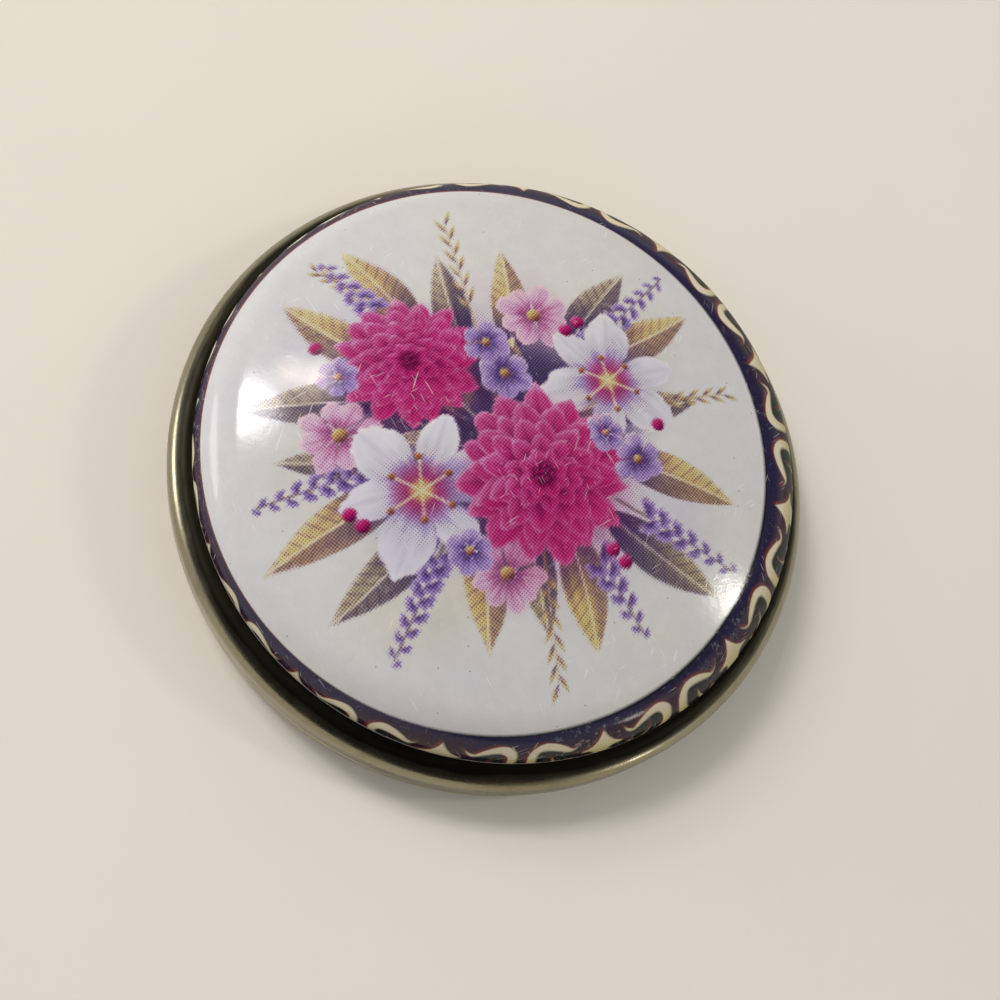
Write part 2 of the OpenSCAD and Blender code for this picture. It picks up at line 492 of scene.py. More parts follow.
def tinplate(name, tone, dull, gutter=None):
    """Polished tinplate: a bright metal with cloudy tone, fine lines from the drawing that run round the
    axis, finger marks that take the shine down, and short scratches. dull is the roughness of its clean parts
    and gutter the radius out to which painted shade darkens the gutter below the lid's edge, a dark band that
    stands in for the shadow there."""
    s = Shader(bpy.data.materials.new(name))
    place = s.place()
    x, y, z = s.split(place)
    out = s.math("SQRT", s.math("ADD", s.times(x, x), s.times(y, y)))
    clouds = s.noise(place, 90.0, 4.0, 0.6)
    marks = s.spread(s.noise(place, 210.0, 3.0, 0.7), 0.5, 0.72)
    round_axis = s.times(s.math("ARCTAN2", y, x), 0.35)
    lines = s.noise(s.join(s.times(out, 60.0), s.times(z, 60.0), round_axis), 160.0, 2.0)
    scratch = s.spread(s.noise(s.vector("MULTIPLY", place, (1.0, 14.0, 9.0)), 700.0, 1.0), 0.68, 0.74)
    deep = tuple(v * f for v, f in zip(tone, (0.84, 0.80, 0.71)))
    base = s.mix(s.spread(clouds, 0.35, 0.7), tone, deep)
    base = s.mix(s.times(marks, 0.25), base, tuple(v * 0.55 for v in tone))
    rough = s.math("ADD", s.times(marks, 0.11), s.spread(clouds, 0.3, 0.7, dull, dull + 0.07))
    if gutter:
        # Painted shade: a dark, rougher band in the gutter below the lid's edge, where the lid shades it
        edge = s.math("ADD", out, s.times(s.math("SUBTRACT", clouds, 0.5), 1.2 * MM))
        floor_up = s.times(s.spread(z, 7.0 * MM, 7.2 * MM), s.spread(z, 8.6 * MM, 8.0 * MM))
        gutter_shade = s.times(s.spread(edge, gutter + 0.5 * MM, gutter - 0.2 * MM), floor_up)
        base = s.mix(s.times(gutter_shade, 0.93), base, GUTTER_SHADE)
        rough = s.math("ADD", rough, s.times(gutter_shade, 0.2))
    rough = s.math("ADD", rough, s.times(scratch, 0.15))
    normal = s.bump(lines, 0.004 * MM)
    normal = s.bump(s.noise(place, 330.0), 0.02 * MM, normal)
    normal = s.bump(s.noise(place, 3600.0, 2.0, 0.6), 0.005 * MM, normal)
    return s.finish(Base_Color=base, Metallic=1.0, Roughness=rough, Normal=normal)


def garland_dots(s, p, place, flat, disc_edge):
    """The garland: tones of the ink attribute broken into two dot screens of darker ink, turned against each
    other, under a cloudy cast."""
    ink = s.attribute("ink")["Color"]
    ground = sum(v * f for v, f in zip(p.cream, LUMINANCE))
    dark_share = s.spread(s.vector("DOT_PRODUCT", ink, LUMINANCE), ground * 0.96, 0.01)
    key = s.dots(flat, 52, PRINT_SPAN / p.dot, dark_share)
    second = s.dots(flat, 21, PRINT_SPAN / (p.dot * 1.07), dark_share)
    lit = s.vector("MINIMUM", s.vector("MULTIPLY", ink, (1.45, 1.42, 1.42)), tuple(p.cream))
    dotted = s.mix(key, lit, s.vector("MULTIPLY", ink, (0.56, 0.44, 0.72)))
    dotted = s.mix(second, dotted, s.vector("MULTIPLY", dotted, (0.97, 0.82, 0.92)))
    on_disc = s.times(s.spread(disc_edge, 0.0, 0.1 * MM), s.spread(dark_share, 0.0, 0.3, 0.0, 0.9))
    picture = s.mix(on_disc, ink, dotted)
    cast = s.spread(s.noise(place, 34.0, 3.0, 0.6), 0.35, 0.65)
    picture = s.mix(1.0, picture, s.mix(cast, (0.955, 0.95, 1.0), (1.0, 0.985, 0.945)), "MULTIPLY")
    cloudy = s.spread(s.noise(place, 480.0, 4.0, 0.7), 0.3, 0.7, 0.96, 1.02)
    return s.mix(1.0, picture, s.join(cloudy, cloudy, cloudy), "MULTIPLY")


def border_plates(s, p, place, disc_edge, picture):
    """The band and the border have two plates, a dark one and a red one, printed a hair apart. The plates
    attribute holds how deep a point lies inside the parts left open on each, and where one plate prints alone
    its own colour shows; where neither prints, the picture or the scrolls' own tone does."""
    dark_open, red_open, under = s.split(s.attribute("plates")["Vector"])
    ragged = s.times(s.swing(place, 5200.0), 0.10 * MM)

    def printed(open_, soft):
        return s.spread(s.math("ADD", open_, ragged), soft, -soft)

    red, dark = printed(red_open, 0.09 * MM), printed(dark_open, 0.20 * MM)
    drift = s.math("ADD", disc_edge, s.times(s.swing(place, 110.0, 3.0), 5 * MM))
    band = s.mix(s.spread(drift, -0.9 * MM, -2.4 * MM), tuple(p.navy), tuple(p.plum))
    mottle = s.spread(s.noise(place, 2600.0, 3.0, 0.7), 0.3, 0.75, 0.7, 1.2)
    band = s.mix(1.0, s.mix(under, band, tuple(p.teal)), s.join(mottle, mottle, mottle), "MULTIPLY")
    return s.mix(dark, s.mix(red, picture, tuple(p.rust)), s.mix(red, tuple(p.teal), band))


def printed_lacquer(p):
    """The lid's print under clear lacquer, with a worn lip, scuffs, hairline scratches, specks and smears."""
    s = Shader(bpy.data.materials.new("printed_lacquer"))
    place = s.place()
    lip, disc_edge, _ = s.split(s.attribute("reach")["Vector"])
    flat = s.vector("SUBTRACT", s.node("ShaderNodeUVMap", uv_map="print").outputs[0], (0.5, 0.5, 0.0))
    base = border_plates(s, p, place, disc_edge, garland_dots(s, p, place, flat, disc_edge))

    chipped = s.math("SUBTRACT", s.times(s.noise(place, 900.0, 4.0, 0.7), 0.85 * MM), lip)
    worn = s.math("MAXIMUM", s.spread(chipped, 0.28 * MM, 0.36 * MM), s.spread(lip, 0.46 * MM, 0.34 * MM))
    lines = s.math("MAXIMUM", s.hairlines(flat, 32, 5.0, 0.72), s.hairlines(flat, 118, 6.5, 0.725))
    lines = s.math("MAXIMUM", lines, s.hairlines(flat, 71, 4.0, 0.73))
    scuffs = s.times(s.spread(s.noise(place, 1300.0, 4.0, 0.7), 0.56, 0.72),
                     s.spread(s.noise(place, 80.0), 0.48, 0.66))
    specks = s.specks(flat, PRINT_SPAN / (3.2 * MM), 0.02)
    for share, strength, mark in ((scuffs, 0.34, SCUFFED), (lines, 0.42, SCRATCHED), (specks, 0.6, SPECK)):
        base = s.mix(s.times(share, strength), base, mark)
    base = s.mix(worn, base, WORN_EDGE)
    whole = s.math("SUBTRACT", 1.0, lines)
    shine = s.times(s.spread(s.noise(place, 75.0, 3.0), 0.35, 0.7, 0.30, 0.20), whole)
    soft = s.bump(s.noise(place, 260.0), 0.022 * MM)
    fine = s.bump(s.noise(place, 2600.0, 3.0, 0.6), 0.010 * MM, soft)
    fine = s.bump(whole, 0.002 * MM, fine)
    return s.finish(Base_Color=base, Roughness=0.4, Metallic=s.times(worn, 0.5), Coat_Weight=shine,
                    Coat_Roughness=0.11, Coat_IOR=2.0, Specular_IOR_Level=0.0, Normal=fine, Coat_Normal=fine)


def sheet_floor(tone):
    """A plain pale floor with a faint tooth, which fades into the white background far from the tin."""
    s = Shader(bpy.data.materials.new("floor"))
    place = s.place()
    base = s.mix(s.noise(place, 40.0, 3.0), tone, tuple(v * 0.97 for v in tone))
    away = s.times(s.spread(s.vector("LENGTH", place), 0.25, 1.3),
                   s.node("ShaderNodeLightPath").outputs["Is Camera Ray"])
    return s.finish(Base_Color=s.mix(away, base, (0.0, 0.0, 0.0)), Roughness=0.75,
                    Emission_Color=(1.0, 1.0, 1.0), Emission_Strength=away,
                    Normal=s.bump(s.noise(place, 900.0), 0.02 * MM))


def studio_world():
    """Soft light from all round. The background is white, and glossy surfaces see it pale along the horizon,
    but dark overhead and in front, as a tin on a table does below whoever stands over it."""
    world = bpy.data.worlds.new("studio")
    s = Shader(world)
    x, y, height = s.split(s.node("ShaderNodeTexCoord").outputs["Generated"])
    path = s.node("ShaderNodeLightPath").outputs
    front = s.math("MULTIPLY_ADD", x, -0.42, s.times(y, -0.91))
    horizon = s.mix(s.spread(front, 0.42, 0.86), (0.90, 0.90, 0.87), (0.06, 0.055, 0.045))
    seen = s.mix(s.spread(height, 0.10, 0.40), horizon, (0.02, 0.02, 0.022))
    tone = s.mix(path["Is Glossy Ray"], (0.40, 0.415, 0.43), seen)
    tone = s.mix(path["Is Camera Ray"], tone, (1.0, 1.0, 1.0))
    background = s.work("ShaderNodeBackground", tone)[0]
    s.feed(s.node("ShaderNodeOutputWorld").inputs["Surface"], background)
    return world


# The print

def grain(x, y, seed):
    """Smooth noise from 0 to 1: hashed values on a square lattice, blended between them by t t (3 - 2 t)."""
    i, j = np.floor(x), np.floor(y)
    fx, fy = x - i, y - j
    fx, fy = fx * fx * (3 - 2 * fx), fy * fy * (3 - 2 * fy)

    def value(a, b):
        n = np.sin(a * 127.1 + b * 311.7 + seed * 74.7) * 43758.5453
        return n - np.floor(n)

    low = value(i, j) * (1 - fx) + value(i + 1, j) * fx
    high = value(i, j + 1) * (1 - fx) + value(i + 1, j + 1) * fx
    return low * (1 - fy) + high * fy


def cloud(x, y, seed, layers=3):
    """Layers of grain, each twice as fine and half as strong as the one before, from 0 to 1."""
    total = sum(grain(x * 2 ** k, y * 2 ** k, seed + k) / 2 ** k for k in range(layers))
    return total / sum(1 / 2 ** k for k in range(layers))


def rise(value, low, high):
    """0 below low, 1 above high and a smooth step between them."""
    t = np.clip((value - low) / (high - low), 0, 1)
    return t * t * (3 - 2 * t)


def toward(tones, ink, share):
    """Tones moved toward an ink by a share per point."""
    return tones + (ink - tones) * share[:, None]


def tone(red, green, blue):
    """A tone on the painter's scale, from 0 to 255 each."""
    return np.array((red, green, blue)) / 255


def paint_scale(linear):
    """Scene-linear colour to the painter's scale, which steps evenly to the eye."""
    v = np.asarray(linear, float)
    return np.where(v <= 0.0031308, v * 12.92, 1.055 * np.maximum(v, 1e-6) ** (1 / 2.4) - 0.055)


def light_scale(tones):
    """The painter's scale back to scene-linear colour."""
    return np.where(tones <= 0.04045, tones / 12.92, ((tones + 0.055) / 1.055) ** 2.4)


# Tones that every ink pales towards, of a blossom's heart and of a lily's anthers, and where the light is
PALE = tone(246, 236, 230)
HEART = {"deep": tone(110, 62, 60), "body": tone(186, 152, 88), "light": tone(214, 190, 120)}
ANTHER = {"deep": tone(112, 60, 52), "body": tone(166, 110, 60), "light": tone(206, 160, 88)}
PAINT_LIGHT = math.radians(125)
# Rings of a dahlia's petals: how many, how far, where they start and how wide, as shares of its size
DAHLIA_RINGS = ((15, 1.0, 0.30, 0.20), (14, 0.84, 0.22, 0.18), (12, 0.66, 0.14, 0.155),
                (10, 0.47, 0.05, 0.125), (8, 0.30, 0.0, 0.10))
# What turns each ink's body tone into its deep one
SHADES = {"crimson": (0.56, 0.44, 0.67), "rose": (0.73, 0.58, 0.75), "white": (0.65, 0.63, 0.78),
          "violet": (0.57, 0.52, 0.70), "ochre": (0.575, 0.59, 1.18), "olive": (0.565, 0.57, 1.09)}


def mixed_ink(body, shade, light=0.38, rim=0.66):
    """The four tones of one ink: deep is the body tone times its shade, light and rim lie toward pale."""
    return {"deep": body * np.array(shade), "body": body, "light": body + (PALE - body) * light,
            "rim": body + (PALE - body) * rim}


class Picture:
    """Tones at points x, y, in millimetres on the flat sheet, painted one soft-edged form over another."""

    def __init__(self, x, y, ground):
        self.x, self.y = x, y
        self.tones = np.tile(np.asarray(ground, float), (len(x), 1))

    def lay(self, where, cover, tones):
        """Paint over the points where, each by its cover from 0 to 1."""
        self.tones[where] += (tones - self.tones[where]) * cover[:, None]

    def near(self, cx, cy, reach):
        return np.flatnonzero((self.x - cx) ** 2 + (self.y - cy) ** 2 < reach * reach)

    def along(self, where, cx, cy, turn, reach, bow):
        """u from 0 at the root to 1 at the tip of a form bowed sideways as u squared, and v across it."""
        x, y = self.x[where] - cx, self.y[where] - cy
        c, s = math.cos(turn), math.sin(turn)
        u = (x * c + y * s) / reach
        return u, y * c - x * s - bow * reach * np.clip(u, 0, 1) ** 2

    def petal(self, cx, cy, turn, reach, width, ink, seed, start=0.0, belly=0.62, tip=0.75, bow=0.0,
              crease=0.5, ruffle=0.1):
        """A petal. Its half width is width times sin(pi u^k) to the power tip, with k chosen so that it is
        widest at u = belly, and noise ruffles its end. Its tone goes from deep at the root to body, with
        light where it faces the light, a pale rim, a deep crease and streaks that run along it."""
        where = self.near(cx, cy, reach * 1.15)
        if not len(where):
            return
        u, v = self.along(where, cx, cy, turn, reach, bow)
        wave = ruffle * (cloud(u * 5 + seed, v * 1.2 + seed * 3, seed) - 0.5)
        half = width * np.sin(np.pi * np.clip(u + wave, 1e-4, 1) ** (math.log(0.5) / math.log(belly))) ** tip
        across = v / np.maximum(half, 1e-3)
        cover = np.clip((half - np.abs(v)) / 0.22, 0, 1) * rise(u, start, start + 0.06) * (u + wave < 1)
        streak = cloud(u * 1.5, across * 4 + seed, seed + 9) - 0.5
        facing = 0.5 + 0.5 * math.cos(turn - PAINT_LIGHT)
        side = 0.5 + 0.5 * across * math.sin(PAINT_LIGHT - turn)
        t = toward(ink["deep"], ink["body"], rise(u + 0.35 * streak, 0.08, 0.72))
        lit = (0.25 + 0.5 * facing) * side * rise(u, 0.2, 0.9) * 1.5 + streak * 0.5
        t = toward(t, ink["light"], np.clip(lit, 0, 1))
        rim = np.clip(rise(np.abs(across), 0.62, 0.98) * rise(u, 0.35, 0.9) + rise(u, 0.86, 1.0), 0, 1)
        t = toward(t, ink["rim"], rim * (0.35 + 0.45 * facing))
        t = toward(t, ink["deep"], np.clip(np.exp(-(across / 0.12) ** 2) * crease * (1 - 0.6 * u), 0, 1))
        self.lay(where, cover, t)

    def shade(self, cx, cy, reach, ink, strength):
        """A soft round wash that fades out at its reach."""
        where = self.near(cx, cy, reach)
        away = np.hypot(self.x[where] - cx, self.y[where] - cy) / reach
        self.lay(where, strength * (1 - rise(away, 0.35, 1.0)), ink)

    def bead(self, cx, cy, size, ink, strength=1.0):
        """A round berry or bud, light towards the light and deep away from it."""
        where = self.near(cx, cy, size * 1.2)
        x, y = (self.x[where] - cx) / size, (self.y[where] - cy) / size
        lit = x * math.cos(PAINT_LIGHT) + y * math.sin(PAINT_LIGHT)
        t = toward(toward(ink["deep"], ink["body"], rise(lit, -0.9, 0.3)), ink["light"], rise(lit, 0.2, 0.9))
        self.lay(where, np.clip((1 - np.hypot(x, y)) * size / 0.2, 0, 1) * strength, t)

    def stem(self, x0, y0, x1, y1, width, ink, strength=0.8):
        """A thin straight stroke between two points."""
        where = self.near((x0 + x1) / 2, (y0 + y1) / 2, math.hypot(x1 - x0, y1 - y0) / 2 + width + 0.5)
        run = np.array((x1 - x0, y1 - y0))
        off = np.stack([self.x[where] - x0, self.y[where] - y0], axis=1)
        share = np.clip(off @ run / max(run @ run, 1e-9), 0, 1)
        away = np.hypot(*(off - share[:, None] * run).T)
        self.lay(where, np.clip((width - away) / 0.2 + 0.5, 0, 1) * strength, ink)

    def leaf(self, x0, y0, turn, reach, width, ink, seed, bow=0.0):
        """A lance-shaped leaf: a long petal with slanted side veins, a shaded half and a pale midrib."""
        self.petal(x0, y0, turn, reach, width, ink, seed, belly=0.46, tip=0.9, bow=bow, crease=0, ruffle=0.06)
        where = self.near(x0, y0, reach * 1.05)
        u, v = self.along(where, x0, y0, turn, reach, bow)
        half = width * np.sin(np.pi * np.clip(u, 1e-4, 1) ** 0.9) ** 0.9
        inside = np.clip((half - np.abs(v)) / 0.2, 0, 1) * (u > 0) * (u < 1)
        slant = np.cos(2 * np.pi * (u * reach / 1.5 - np.abs(v) * 0.55))
        self.lay(where, inside * rise(slant, 0.72, 1.0) * rise(np.abs(v), 0.1, 0.3) * 0.4, ink["deep"])
        self.lay(where, inside * rise(-v * math.sin(PAINT_LIGHT - turn), 0.0, 0.25) * 0.38, ink["deep"])
        self.lay(where, np.clip((0.17 - np.abs(v)) / 0.12, 0, 1) * inside * 0.7, ink["rim"])

    def ear(self, x0, y0, turn, reach, ink, seed):
        """A grass ear: slim grains in pairs up a stem."""
        dx, dy = math.cos(turn) * reach, math.sin(turn) * reach
        self.stem(x0, y0, x0 + dx, y0 + dy, 0.12, ink["body"], 0.7)
        for k in range(12):
            t = 0.35 + 0.65 * k / 11
            self.petal(x0 + dx * t, y0 + dy * t, turn + (-1) ** k * 0.42, reach * 0.15, 0.36, ink, seed + k,
                       belly=0.5, tip=0.9, crease=0.2)

    def spike(self, x0, y0, turn, reach, ink, seed, florets=15):
        """Small florets of four petals set left and right up a stem, smaller towards its tip."""
        rng = np.random.default_rng(seed)
        c, s = math.cos(turn), math.sin(turn)
        self.stem(x0, y0, x0 + reach * c, y0 + reach * s, 0.16, tone(118, 112, 84))
        eye = {"deep": ink["deep"], "body": tone(170, 150, 130), "light": tone(214, 200, 150)}
        for k in range(florets):
            t = 0.22 + 0.78 * k / (florets - 1)
            side, swell = (-1) ** k, 1.05 - 0.62 * t
            away = side * 0.55 * swell + rng.uniform(-0.12, 0.12)
            px, py = x0 + reach * t * c - away * s, y0 + reach * t * s + away * c
            for j in range(4):
                self.petal(px, py, turn + side * 0.8 + (j - 1.5) * 0.7, 1.9 * swell, 0.66 * swell, ink,
                           seed * 5 + k * 3 + j, tip=0.7, crease=0.2)
            self.bead(px, py, 0.28 * swell + 0.08, eye, 0.8)

    def blossom(self, cx, cy, size, ink, seed, petals=8):
        """One ring of broad petals round a small domed heart."""
        rng = np.random.default_rng(seed)
        self.shade(cx + size * 0.1, cy - size * 0.1, size * 1.1, ink["deep"], 0.22)
        for k in rng.permutation(petals):
            turn = 2 * np.pi * k / petals + seed + rng.uniform(-0.1, 0.1)
            self.petal(cx, cy, turn, size * rng.uniform(0.86, 1.04), size * 2.4 / petals, ink, seed * 7 + k,
                       belly=0.72, tip=0.6, crease=0.3)
        self.bead(cx, cy, size * 0.2, HEART)

    def dahlia(self, cx, cy, size, ink, seed):
        """Five rings of pointed petals, each shorter and set half a petal on, round a tight dark heart."""
        rng = np.random.default_rng(seed)
        self.shade(cx + size * 0.12, cy - size * 0.16, size * 1.25, ink["deep"], 0.35)
        for ring, (count, far, start, wide) in enumerate(DAHLIA_RINGS):
            self.shade(cx, cy, size * (far + 0.12), ink["deep"], 0.55 if ring else 0.0)
            for k in rng.permutation(count):
                turn = 2 * np.pi * (k + 0.5 * ring + rng.uniform(-0.12, 0.12)) / count + seed
                reach, width = size * far * rng.uniform(0.92, 1.04), size * wide * rng.uniform(0.9, 1.1)
                self.petal(cx, cy, turn, reach, width, ink, seed * 31 + ring * 17 + k, start=start,
                           bow=rng.uniform(-0.06, 0.06), crease=0.55)
        self.shade(cx, cy, size * 0.16, tone(84, 16, 52), 0.8)
        for k in range(9):
            a, r = k * 2.4 + seed, size * 0.035 * math.sqrt(k + 0.5)
            self.bead(cx + r * math.cos(a), cy + r * math.sin(a), size * 0.035, ink, 0.9)

    def lily(self, cx, cy, size, ink, seed, turn):
        """Three broad petals over three narrow ones, a blushed throat and six stamens."""
        rng = np.random.default_rng(seed)
        self.shade(cx + size * 0.1, cy - size * 0.12, size * 0.9, tone(120, 112, 148), 0.35)
        for layer, wide in ((0, 0.23), (1, 0.31)):
            for k in range(3):
                way = turn + 2 * np.pi * (k + 0.5 * layer) / 3 + rng.uniform(-0.1, 0.1)
                reach = size * (0.94 + 0.06 * layer) * rng.uniform(0.95, 1.05)
                self.petal(cx, cy, way, reach, size * wide, ink, seed * 13 + layer * 7 + k, belly=0.58,
                           tip=0.8, bow=rng.uniform(-0.08, 0.08), crease=0.35, ruffle=0.16)
        self.shade(cx, cy, size * 0.42, tone(176, 48, 96), 0.75)
        self.shade(cx, cy, size * 0.18, tone(196, 178, 96), 0.8)
        for k in range(6):
            way, far = turn + k * np.pi / 3 + 0.35, size * rng.uniform(0.30, 0.40)
            px, py = cx + far * math.cos(way), cy + far * math.sin(way)
            self.stem(cx, cy, px, py, 0.14, tone(206, 196, 150))
            self.bead(px, py, size * 0.05, ANTHER)


# The garland in millimetres from the print's centre and degrees from +X. Washes: x, y, reach, tone, strength
GARLAND_WASHES = ((-17, 8, 10, (176, 164, 190), 0.22), (15, 12, 10, (196, 184, 140), 0.26),
                  (18, -9, 10, (176, 166, 192), 0.24), (-8, -16, 11, (196, 182, 136), 0.26),
                  (3, 15, 9, (206, 178, 186), 0.28), (-19, -5, 9, (200, 184, 150), 0.20),
                  (7, -15, 9, (180, 164, 190), 0.24))
# Leaves: ink, x, y, turn, length, half width and bow; the inner ones have no ink or bow of their own
GARLAND_LEAVES = (("ochre", -9, -6, 206, 18.5, 2.7, 0.10), ("olive", -6, -9, 232, 17, 2.6, -0.12),
                  ("ochre", -1, -9, 262, 15, 2.7, 0.12), ("olive", 11, -8, 321, 17, 2.7, 0.10),
                  ("ochre", 12, -2, 350, 16.5, 2.6, -0.10), ("ochre", 7, -10, 290, 14.5, 2.6, -0.10),
                  ("ochre", -11, 7, 152, 15, 2.6, -0.12), ("olive", -12, 3, 176, 15.5, 2.5, 0.10),
                  ("ochre", -8, 11, 120, 14.5, 2.6, 0.12), ("ochre", 11, 9, 26, 15.5, 2.5, 0.10),
                  ("olive", 8, 10, 60, 14.5, 2.5, -0.10), ("ochre", 2, 9, 86, 14.5, 2.3, 0.10),
                  ("olive", -3, 9, 108, 13.5, 2.2, -0.10), ("olive", -10, -3, 188, 14, 2.1, -0.10),
                  ("olive", 3, -9, 274, 13.5, 2.2, 0.10), ("olive", 12, 3, 8, 12.5, 2.1, 0.10))
INNER_LEAVES = ((0, 3, 70, 9, 2.2), (-2, 1, 128, 7, 2.0), (7, 2, 20, 8, 2.0), (-1, -2, 215, 8, 2.0),
                (3, 8, 150, 7, 1.9), (-4, -3, 160, 8, 2.0), (2, 3, 345, 8, 2.0))
# Shadows: x, y, reach. Grass ears: x, y, turn, length, and for flower spikes how many florets
INNER_SHADOWS = ((-2, 2, 15), (3, 4, 11), (-2, -6, 11), (9, 2, 10), (-9, 1, 9))
GRASS_EARS = ((4, -9, 277, 18), (-1, 8, 101, 19), (11, 3, 14, 17), (-9, 12, 143, 13))
FLOWER_SPIKES = ((-9, -3, 198, 17.5, 15), (-5, -10, 247, 16, 15), (9, 9, 46, 17.5, 15),
                 (13, -7, 333, 15.5, 13), (-11, 12, 131, 11.5, 11), (9, -11, 303, 12.5, 11))
# Blossoms: x, y, size, seed and, for the rose ones, how many petals
ROSE_BLOSSOMS = ((-17.0, -0.6, 4.6, 5, 8), (4.8, 14.6, 4.5, 6, 8), (0.6, -15.6, 4.4, 7, 9))
VIOLET_BLOSSOMS = ((1.0, 7.0, 3.3, 8), (15.8, -2.2, 3.1, 9), (-0.9, 10.8, 2.8, 10), (-3.4, -13.2, 2.8, 13),
                   (-17.2, 6.2, 2.5, 14), (12.2, 0.6, 2.4, 15))
BERRIES = ((8.4, 13.0), (9.9, 14.2), (-14.6, -10.6), (-16.0, -9.4), (12.4, -12.6), (13.8, -13.9),
           (-19.6, 9.8), (18.6, 2.2))


def paint_garland(x, y, ground, flowers):
    """A swag of two dahlias and two lilies among blossoms, with leaves, flower spikes and grass ears spread
    round them, at points x, y in metres from the print's centre; returns scene-linear tones."""
    ink = {name: mixed_ink(paint_scale(getattr(flowers, name)), shade) for name, shade in SHADES.items()}
    ground = paint_scale(ground)
    p = Picture(x / MM, y / MM, ground)
    for a, b, far, wash, share in GARLAND_WASHES:
        p.shade(a, b, far, tone(*wash), share)
    for k, (name, a, b, turn, far, wide, bow) in enumerate(GARLAND_LEAVES):
        p.leaf(a, b, math.radians(turn), far, wide, ink[name], 40 + k, bow)
    for a, b, far in INNER_SHADOWS:
        p.shade(a, b, far, tone(72, 64, 92), 0.75)
    for k, (a, b, turn, far, wide) in enumerate(INNER_LEAVES):
        p.leaf(a, b, math.radians(turn), far, wide, ink["olive" if k % 2 else "ochre"], 90 + k, 0.1)
    for k, (a, b, turn, far) in enumerate(GRASS_EARS):
        p.ear(a, b, math.radians(turn), far, ink["ochre"], 71 + k)
    for k, (a, b, turn, far, florets) in enumerate(FLOWER_SPIKES):
        p.spike(a, b, math.radians(turn), far, ink["violet"], 81 + k, florets)
    for a, b, size, seed, petals in ROSE_BLOSSOMS:
        p.blossom(a, b, size, ink["rose"], seed, petals)
    p.lily(13.0, 7.0, 9.0, ink["white"], 12, 0.4)
    p.dahlia(-9.5, 8.2, 8.2, ink["crimson"], 3)
    p.lily(-8.4, -6.8, 10.0, ink["white"], 11, 1.3)
    p.dahlia(4.8, -4.6, 10.2, ink["crimson"], 2)
    for a, b, size, seed in VIOLET_BLOSSOMS:
        p.blossom(a, b, size, ink["violet"], seed, 6)
    for a, b in BERRIES:
        p.bead(a, b, 0.9, ink["crimson"])
    inked = rise(np.abs(p.tones - ground).sum(axis=1), 0.03, 0.25)
    wash = 0.12 * (cloud(p.x * 0.35, p.y * 0.35, 3) - 0.5) + 0.08 * (cloud(p.x * 2.2, p.y * 2.2, 17) - 0.5)
    return light_scale(np.clip(p.tones * (1 + wash * (0.15 + inked))[:, None], 0, 1))


# The border's shapes for half a repeat, in degrees from the dart's middle and millimetres from the print's
# centre: the dart's outline, and the scroll and thorn as strokes with their half widths
DART = ((0, 33.95), (0.35, 34.5), (0.8, 35.1), (1.35, 35.75), (2.05, 36.35), (3.0, 36.85), (4.3, 37.2),
        (3.7, 37.7), (2.7, 37.7), (1.9, 37.95), (1.65, 38.5), (1.65, 43.5), (-4, 43.5), (-4, 36.8),
        (-0.35, 34.5))
SCROLL = ((4.0, 34.9, 0.05), (4.7, 35.6, 0.20), (6.0, 36.15, 0.36), (7.7, 35.5, 0.56), (9.6, 34.95, 0.66),
          (11.5, 34.85, 0.72), (12.9, 35.6, 0.70), (13.2, 36.9, 0.66), (13.05, 38.3, 0.62),
          (12.2, 39.5, 0.58), (10.5, 40.25, 0.52), (8.4, 40.15, 0.44), (6.4, 39.6, 0.34), (5.5, 38.9, 0.22),
          (6.3, 38.5, 0.12))
THORN = ((9.7, 36.3, 0.03), (9.5, 37.2, 0.12), (9.1, 38.2, 0.20), (8.4, 39.2, 0.26), (7.9, 39.8, 0.12))
HALF_REPEAT = 15
# Radius at which the border's degrees are turned into millimetres, and the one where the border begins
BORDER_MIDDLE, BORDER_START = 36.5, 33.2


def stroke_depth(u, v, stroke):
    """How deep points lie inside a stroke that swells and tapers: the greatest of half width minus distance
    over circles set closely along a smooth curve through its points."""
    knots = np.array(stroke)
    t = np.linspace(0, len(knots) - 1, 12 * len(knots))
    i = np.clip(t.astype(int), 0, len(knots) - 2)
    f = (t - i)[:, None]
    p0, p1, p2, p3 = (knots[np.clip(i + k, 0, len(knots) - 1)] for k in (-1, 0, 1, 2))
    curve = 0.5 * (2 * p1 + (p2 - p0) * f + (2 * p0 - 5 * p1 + 4 * p2 - p3) * f ** 2
                   + (3 * p1 - p0 - 3 * p2 + p3) * f ** 3)
    cu = np.radians(curve[:, 0]) * BORDER_MIDDLE
    return np.max(curve[None, :, 2] - np.hypot(u[:, None] - cu, v[:, None] - curve[None, :, 1]), axis=1)


def outline_depth(u, v, outline):
    """How deep points lie inside a closed outline: the distance to its nearest side, below zero outside,
    where a point is inside if a line from it crosses the sides an odd number of times."""
    corner = np.array(outline, float)
    corner[:, 0] = np.radians(corner[:, 0]) * BORDER_MIDDLE
    after = np.roll(corner, -1, axis=0)
    side = after - corner
    off = np.stack([u, v], axis=1)[:, None, :] - corner
    share = np.clip((off * side).sum(axis=2) / (side * side).sum(axis=1), 0, 1)
    near = np.linalg.norm(off - share[:, :, None] * side, axis=2).min(axis=1)
    spans = (corner[:, 1] > v[:, None]) != (after[:, 1] > v[:, None])
    with np.errstate(divide="ignore", invalid="ignore"):
        cross = corner[:, 0] + (v[:, None] - corner[:, 1]) * side[:, 0] / side[:, 1]
    inside = (spans & (u[:, None] < cross)).sum(axis=1) % 2 == 1
    return np.where(inside, near, -near)


def folded(x, y, p):
    """Points folded onto the half repeat: degrees from the dart's middle and millimetres from the centre."""
    part = 360 / p.repeats
    angle = np.degrees(np.arctan2(y, x) - p.turn)
    fold = np.abs((angle + part / 2) % part - part / 2)
    return fold * (2 * HALF_REPEAT / part), np.hypot(x, y) / MM


